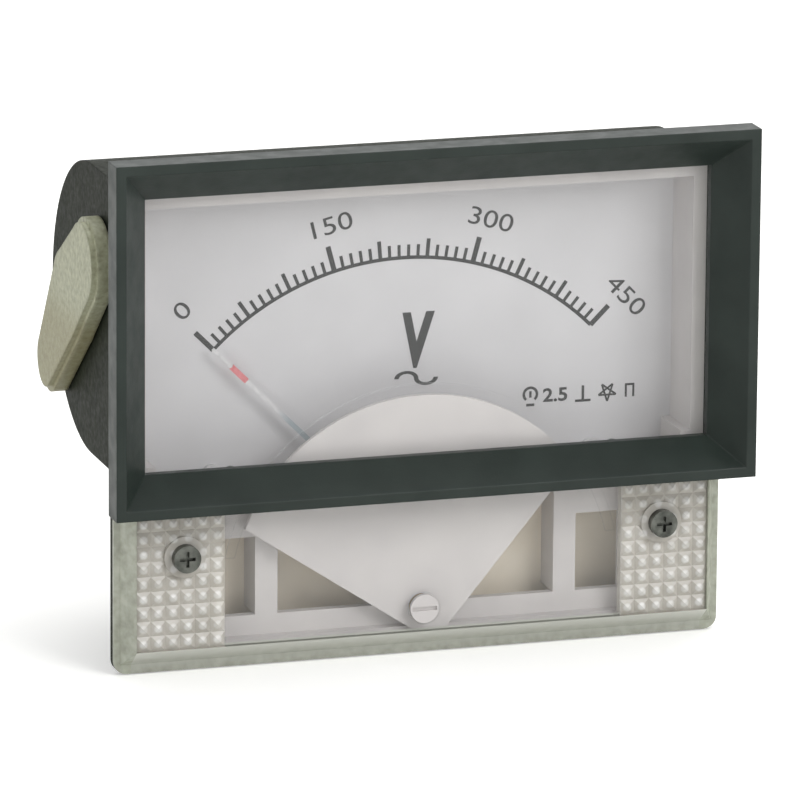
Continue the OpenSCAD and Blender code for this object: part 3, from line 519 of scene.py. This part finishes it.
class PanelMeterDial(bpy.types.PropertyGroup):
    """Sizes of the printed dial"""
    arc_radius: FloatProperty(
        name="Arc radius", description="Radius of the scale's base line", default=42.1 * MM, unit="LENGTH")
    long_tick: FloatProperty(
        name="Long tick", description="Length of a numbered tick", default=4.0 * MM, unit="LENGTH")
    middle_tick: FloatProperty(
        name="Middle tick", description="Length of the tick at every fifty", default=2.9 * MM, unit="LENGTH")
    short_tick: FloatProperty(
        name="Short tick", description="Length of the other ticks", default=2.0 * MM, unit="LENGTH")
    label_radius: FloatProperty(
        name="Number radius", description="Distance of the numbers from the pointer's axis",
        default=49.0 * MM, unit="LENGTH")
    label_size: FloatProperty(
        name="Number size", description="Height of the numbers' lettering", default=3.9 * MM, unit="LENGTH")
    full_scale: IntProperty(
        name="Full scale", description="Value at the scale's end", default=450, min=30)
    divisions: IntProperty(
        name="Divisions", description="Number of small divisions", default=45, min=9)


class PanelMeterCover(bpy.types.PropertyGroup):
    """Sizes of the clear cover that its finish and its lip follow"""
    width: FloatProperty(
        name="Width", description="Width of the cover at its lip", default=95.4 * MM, unit="LENGTH")
    height: FloatProperty(
        name="Height", description="Height of the cover at its lip", default=77.0 * MM, unit="LENGTH")
    foot: FloatProperty(
        name="Foot", description="Height of the lip's lower edge", default=-17.0 * MM, unit="LENGTH")
    corner: FloatProperty(
        name="Corner", description="Radius of the lip's corners", default=2.0 * MM, unit="LENGTH")
    side_bevel: FloatProperty(
        name="Side slope", description="Width of the sloped sides from the front",
        default=2.7 * MM, unit="LENGTH")
    low_bevel: FloatProperty(
        name="Lower slope", description="Height of the sloped foot from the front",
        default=4.0 * MM, unit="LENGTH")
    prism_pitch: FloatProperty(
        name="Pyramid pitch", description="Spacing of the pyramids", default=2.3 * MM, unit="LENGTH")
    lip_thickness: FloatProperty(
        name="Lip", description="Thickness of the lip", default=0.5 * MM, unit="LENGTH")


class PanelMeterStage(bpy.types.PropertyGroup):
    """Light and floor round the meter"""
    world_level: FloatProperty(
        name="Fill", description="Strength of the even light from all round", default=0.58)
    key_power: FloatProperty(
        name="Key lamp", description="Power of the large lamp", default=4.4, unit="POWER")
    top_power: FloatProperty(
        name="Top lamp", description="Power of the lamp above", default=3.2, unit="POWER")
    floor_tone: FloatVectorProperty(
        name="Floor", description="Colour of the floor's darker patches", subtype="COLOR", size=4,
        default=srgb("#F6F6F4"))


# ---------- Operators ----------

class PANELMETER_OT_finishes(bpy.types.Operator):
    """Give every modelled part its finish"""
    bl_idname = "panel_meter.finishes"
    bl_label = "Finishes"

    def execute(self, context):
        missing = set(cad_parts) - set(FINISHES)
        if missing:
            raise RuntimeError("No finish for " + ", ".join(sorted(missing)))
        made = {finish: finish() for finish in dict.fromkeys(FINISHES.values())}
        for node, finish in FINISHES.items():
            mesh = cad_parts[node].data
            mesh.materials.clear()
            mesh.materials.append(made[finish])
        return {"FINISHED"}


class PANELMETER_OT_scale(bpy.types.Operator):
    """Print the scale's line and ticks on the dial"""
    bl_idname = "panel_meter.scale"
    bl_label = "Scale"

    def execute(self, context):
        dial = context.scene.panel_meter_dial
        printing_ink("black_dial_ink", "#0C0D0D", "#1A1B1B")
        bm = bmesh.new()
        add_arc(bm, dial.arc_radius, 0.55 * MM, SCALE_START, SCALE_SWEEP)
        for tick in range(dial.divisions + 1):
            if tick % (dial.divisions // 3) == 0:
                length, wide = dial.long_tick, 0.8 * MM
            elif tick % 5 == 0:
                length, wide = dial.middle_tick, 0.6 * MM
            else:
                length, wide = dial.short_tick, 0.5 * MM
            turn = SCALE_START + SCALE_SWEEP * tick / dial.divisions
            add_bar(bm, 0, dial.arc_radius + length / 2, wide, length, INK_Y - INK_STEP, turn)
        printed_shapes("dial_scale", bm)
        return {"FINISHED"}


class PANELMETER_OT_lettering(bpy.types.Operator):
    """Print the numbers, the unit and the sign for alternating current on the dial"""
    bl_idname = "panel_meter.lettering"
    bl_label = "Numbers and unit"

    def execute(self, context):
        dial = context.scene.panel_meter_dial
        for third in range(4):
            # The numbers stand a little clockwise of their ticks, and a single figure a little further out
            turn = SCALE_START + SCALE_SWEEP * third / 3 + radians(1.2)
            value = round(dial.full_scale * third / 3)
            radius = dial.label_radius + (0.9 * MM if value < 10 else 0)
            printed_text("dial_number_%d" % value, str(value), dial.label_size, sin(turn) * radius,
                         cos(turn) * radius, turn)
        printed_text("dial_unit", "V", 11.2 * MM, 1.9 * MM, 28.8 * MM, wide=0.62, weight=0.045, shear=0.1)
        # Alternating current: two half circles end to end, pressed flat
        radius, x, z = 1.55 * MM, 2.1 * MM, 23.3 * MM
        bm = bmesh.new()
        for side in (-1, 1):
            add_arc(bm, radius, 0.72 * MM, side * pi / 2, pi, (x + side * radius, z), steps=20)
        bmesh.ops.scale(bm, vec=(1, 1, 0.62), space=Matrix.Translation((0, 0, -z)), verts=bm.verts[:])
        printed_shapes("dial_wave", bm)
        return {"FINISHED"}


class PANELMETER_OT_signs(bpy.types.Operator):
    """Print the small instrument signs: movement, class, upright use, test voltage and panel"""
    bl_idname = "panel_meter.signs"
    bl_label = "Small signs"

    def execute(self, context):
        row, over = 19.1 * MM, INK_Y - INK_STEP
        coil_x, class_x, upright_x, star_x, panel_x = (x * MM for x in (20.3, 24.3, 28.7, 32.6, 36.2))
        printed_text("dial_class", "2.5", 2.9 * MM, class_x, row, wide=1.15, weight=0.025)
        bm = bmesh.new()
        # Moving coil with a rectifier: a magnet round a bar, with a tail below
        opening = 0.22 * pi
        coil_z = row + 0.4 * MM
        add_arc(bm, 1.05 * MM, 0.42 * MM, opening - pi, 2 * (pi - opening), (coil_x, coil_z), steps=24)
        add_bar(bm, coil_x, coil_z, 0.4 * MM, 1.0 * MM, over)
        add_bar(bm, coil_x, row - 1.25 * MM, 1.3 * MM, 0.42 * MM, over)
        # For upright use
        add_bar(bm, upright_x, row - 1.1 * MM, 2.5 * MM, 0.4 * MM, INK_Y)
        add_bar(bm, upright_x, row + 0.15 * MM, 0.42 * MM, 2.2 * MM, over)
        # Panel of any metal: two posts and a bar
        for side in (-1, 1):
            add_bar(bm, panel_x + side * 0.6 * MM, row, 0.34 * MM, 2.0 * MM, INK_Y)
        add_bar(bm, panel_x, row + 0.95 * MM, 1.5 * MM, 0.34 * MM, over)
        # Star of the insulation test, of five strokes that each miss its middle
        for stroke in range(5):
            add_bar(bm, 0, -0.46 * MM, 2.8 * MM, 0.3 * MM, INK_Y - stroke * INK_STEP,
                    2 * pi * stroke / 5, (star_x, row))
        printed_shapes("dial_signs", bm)
        return {"FINISHED"}


class PANELMETER_OT_pointer_paint(bpy.types.Operator):
    """Paint the red stretch on the needle"""
    bl_idname = "panel_meter.pointer_paint"
    bl_label = "Needle paint"

    def execute(self, context):
        printing_ink("red_needle_paint", "#CC6C70", "#DC868A")
        low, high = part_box("pointer")
        wide, length, radius, coat = 0.9 * MM, 3.3 * MM, 37.2 * MM, 0.03 * MM
        bm = bmesh.new()
        block = bmesh.ops.create_cube(bm, size=1.0)["verts"]
        bmesh.ops.scale(bm, vec=(wide, high[1] - low[1] + 2 * coat, length), verts=block)
        bmesh.ops.translate(bm, vec=(0, (low[1] + high[1]) / 2, radius), verts=block)
        bmesh.ops.rotate(bm, cent=(0, 0, 0), matrix=around(SCALE_START).to_3x3(), verts=block)
        dress(to_object("needle_paint", bm), "red_needle_paint", "moving_coil")
        return {"FINISHED"}


class PANELMETER_OT_shield(bpy.types.Operator):
    """Seat the white shield a hair behind the cover's face"""
    bl_idname = "panel_meter.shield"
    bl_label = "Shield"

    def execute(self, context):
        low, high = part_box("shield_mask")
        gap = 0.04 * MM
        bm = bmesh.new()
        bm.from_mesh(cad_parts["shield_mask"].data)
        bmesh.ops.remove_doubles(bm, verts=bm.verts[:], dist=0.002 * MM)
        bmesh.ops.dissolve_limit(bm, angle_limit=radians(1), verts=bm.verts[:], edges=bm.edges[:])
        front = [v for v in bm.verts if v.co.y < (low[1] + high[1]) / 2]
        bmesh.ops.translate(bm, vec=(0, gap, 0), verts=front)
        bmesh.ops.recalc_face_normals(bm, faces=bm.faces[:])
        shield = dress(to_object("shield", bm), "moulded_white_styrene", "housing")
        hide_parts("shield_mask")
        return {"FINISHED"}


class PANELMETER_OT_cover_lip(bpy.types.Operator):
    """Lay the cover's lip on the case's flange, all round"""
    bl_idname = "panel_meter.cover_lip"
    bl_label = "Cover lip"

    def execute(self, context):
        cover = context.scene.panel_meter_cover
        thick, reach = cover.lip_thickness, 1.6 * MM
        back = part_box("clear_cover")[1][1] + 0.05 * MM
        bm = bmesh.new()
        bmesh.ops.create_cube(bm, size=1.0)
        bmesh.ops.scale(bm, vec=(cover.width, thick, cover.height), verts=bm.verts[:])
        bmesh.ops.translate(bm, vec=(0, back - thick / 2, cover.foot + cover.height / 2), verts=bm.verts[:])
        corners = [e for e in bm.edges if abs(e.verts[0].co.y - e.verts[1].co.y) > thick / 2]
        bmesh.ops.bevel(bm, geom=corners, offset=cover.corner, segments=8, profile=0.5,
                        affect="EDGES", material=-1)
        bm.normal_update()
        # The middle of the front and of the back go, and a wall joins the two holes
        middles = [f for f in bm.faces if abs(f.normal.y) > 0.9]
        bmesh.ops.inset_region(bm, faces=middles, thickness=reach)
        rims = [e for f in middles for e in f.edges]
        bmesh.ops.delete(bm, geom=middles, context="FACES_ONLY")
        bmesh.ops.bridge_loops(bm, edges=rims)
        bmesh.ops.recalc_face_normals(bm, faces=bm.faces[:])
        dress(to_object("cover_lip", bm), "moulded_clear_acrylic", "housing")
        return {"FINISHED"}


class PANELMETER_OT_studs(bpy.types.Operator):
    """Cut the thread on the two terminal studs"""
    bl_idname = "panel_meter.studs"
    bl_label = "Stud threads"

    def execute(self, context):
        low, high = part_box("terminal_studs")
        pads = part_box("case")[1][1]
        # The heads are 7 mm across their flats, with a corner on each side
        head = 3.5 * MM / cos(radians(30))
        x, z = high[0] - head, (low[2] + high[2]) / 2
        tail_end, collar_end, head_end = (low[1] + length * MM for length in (3.1, 5.0, 8.0))
        # The thread starts in the pad's hole and ends before the plain end
        start, end = pads - 2.4 * MM, high[1] - 4.1 * MM
        bm = bmesh.new()
        for side in (-1, 1):
            others = set(bm.verts)
            add_rod(bm, low[1], tail_end, 1.2 * MM, 24)
            add_rod(bm, tail_end, collar_end, 2.4 * MM, 32)
            add_rod(bm, collar_end, head_end, head, 6)
            add_rod(bm, head_end, start, 1.98 * MM, 32)
            add_rod(bm, end, high[1], 1.75 * MM, 32, chamfer=0.4 * MM)
            add_thread(bm, start, end, radius=1.99 * MM, depth=0.36 * MM, pitch=0.7 * MM)
            bmesh.ops.translate(bm, vec=(side * x, 0, z), verts=[v for v in bm.verts if v not in others])
        bmesh.ops.recalc_face_normals(bm, faces=bm.faces[:])
        studs = dress(to_object("stud_threads", bm), "drawn_brass", "housing")
        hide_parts("terminal_studs")
        return {"FINISHED"}


class PANELMETER_OT_stage(bpy.types.Operator):
    """Set the camera, the lamps, the floor and the world"""
    bl_idname = "panel_meter.stage"
    bl_label = "Stage"

    def execute(self, context):
        scene = context.scene
        stage = scene.panel_meter_stage
        scene.view_settings.view_transform = "Standard"

        # A long lens from the front left, a little above
        turn, rise, roll = radians(-17.7), radians(14.29), radians(0.51)
        target, distance = Vector((0, -12 * MM, 23 * MM)), 1.2385
        back = Vector((sin(turn) * cos(rise), -cos(turn) * cos(rise), sin(rise)))
        right = Vector((cos(turn), sin(turn), 0))
        up = back.cross(right)
        camera_right = right * cos(roll) + up * sin(roll)
        camera_up = up * cos(roll) - right * sin(roll)
        data = bpy.data.cameras.new("camera")
        data.lens = 374.5
        data.sensor_width = 36.0
        data.shift_x = -0.051
        data.shift_y = 0.0134
        data.clip_start = 0.05
        camera = bpy.data.objects.new("camera", data)
        matrix = Matrix((camera_right, camera_up, back)).transposed().to_4x4()
        matrix.translation = target + back * distance
        camera.matrix_world = matrix
        scene.collection.objects.link(camera)
        scene.camera = camera

        side_power = 0.25 * stage.key_power
        add_lamp("key_lamp", (0.4, -0.75, 0.55), (0, 0, 0.02), 0.5, stage.key_power)
        add_lamp("top_lamp", (0.1, 0.25, 0.8), (0, 0, 0.03), 0.6, stage.top_power)
        add_lamp("side_lamp", (-0.8, -0.5, 0.35), (0, 0, 0.02), 0.5, side_power)

        # White to the camera, to gloss and through clear plastic; a softer level as light
        world = bpy.data.worlds.new("studio")
        scene.world = world
        world.use_nodes = True
        tree = world.node_tree
        rays = add_node(tree, "ShaderNodeLightPath").outputs
        seen = 0.0
        for ray in ("Is Camera Ray", "Is Glossy Ray", "Is Transmission Ray"):
            seen = add_node(tree, "ShaderNodeMath", {"operation": "MAXIMUM"}, {0: rays[ray], 1: seen})
        level = add_node(tree, "ShaderNodeMapRange", inputs={
            "Value": seen, "To Min": stage.world_level, "To Max": 1.0})
        fill(tree.nodes["Background"], {"Color": (1, 1, 1, 1), "Strength": level})

        bm = bmesh.new()
        bmesh.ops.create_grid(bm, x_segments=1, y_segments=1, size=1.6)
        bmesh.ops.translate(bm, vec=(0, 0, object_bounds()[0][2] - 0.2 * MM), verts=bm.verts[:])
        floor = to_object("floor", bm)
        floor.data.materials.append(paper_floor(tuple(stage.floor_tone)))
        scene.collection.objects.link(floor)
        floor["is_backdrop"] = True
        return {"FINISHED"}


class PANELMETER_PT_panel(bpy.types.Panel):
    """Steps and sizes of the panel meter"""
    bl_idname = "PANELMETER_PT_panel"
    bl_label = "Panel Meter"
    bl_space_type = "VIEW_3D"
    bl_region_type = "UI"
    bl_category = "Panel Meter"

    def draw(self, context):
        for operator in OPERATORS:
            self.layout.operator(operator.bl_idname)
        scene = context.scene
        for group in (scene.panel_meter_dial, scene.panel_meter_cover, scene.panel_meter_stage):
            box = self.layout.box()
            for name in group.__annotations__:
                box.prop(group, name)


OPERATORS = (
    PANELMETER_OT_finishes, PANELMETER_OT_scale, PANELMETER_OT_lettering, PANELMETER_OT_signs,
    PANELMETER_OT_pointer_paint, PANELMETER_OT_shield, PANELMETER_OT_cover_lip, PANELMETER_OT_studs,
    PANELMETER_OT_stage)
CLASSES = (PanelMeterDial, PanelMeterCover, PanelMeterStage) + OPERATORS + (PANELMETER_PT_panel,)


def register():
    for cls in CLASSES:
        bpy.utils.register_class(cls)
    bpy.types.Scene.panel_meter_dial = PointerProperty(type=PanelMeterDial)
    bpy.types.Scene.panel_meter_cover = PointerProperty(type=PanelMeterCover)
    bpy.types.Scene.panel_meter_stage = PointerProperty(type=PanelMeterStage)


def unregister():
    del bpy.types.Scene.panel_meter_stage
    del bpy.types.Scene.panel_meter_cover
    del bpy.types.Scene.panel_meter_dial
    for cls in reversed(CLASSES):
        bpy.utils.unregister_class(cls)


def main():
    register()
    bpy.ops.panel_meter.finishes()
    bpy.ops.panel_meter.scale()
    bpy.ops.panel_meter.lettering()
    bpy.ops.panel_meter.signs()
    bpy.ops.panel_meter.pointer_paint()
    bpy.ops.panel_meter.shield()
    bpy.ops.panel_meter.cover_lip()
    bpy.ops.panel_meter.studs()
    bpy.ops.panel_meter.stage()


if __name__ == "__main__":
    main()
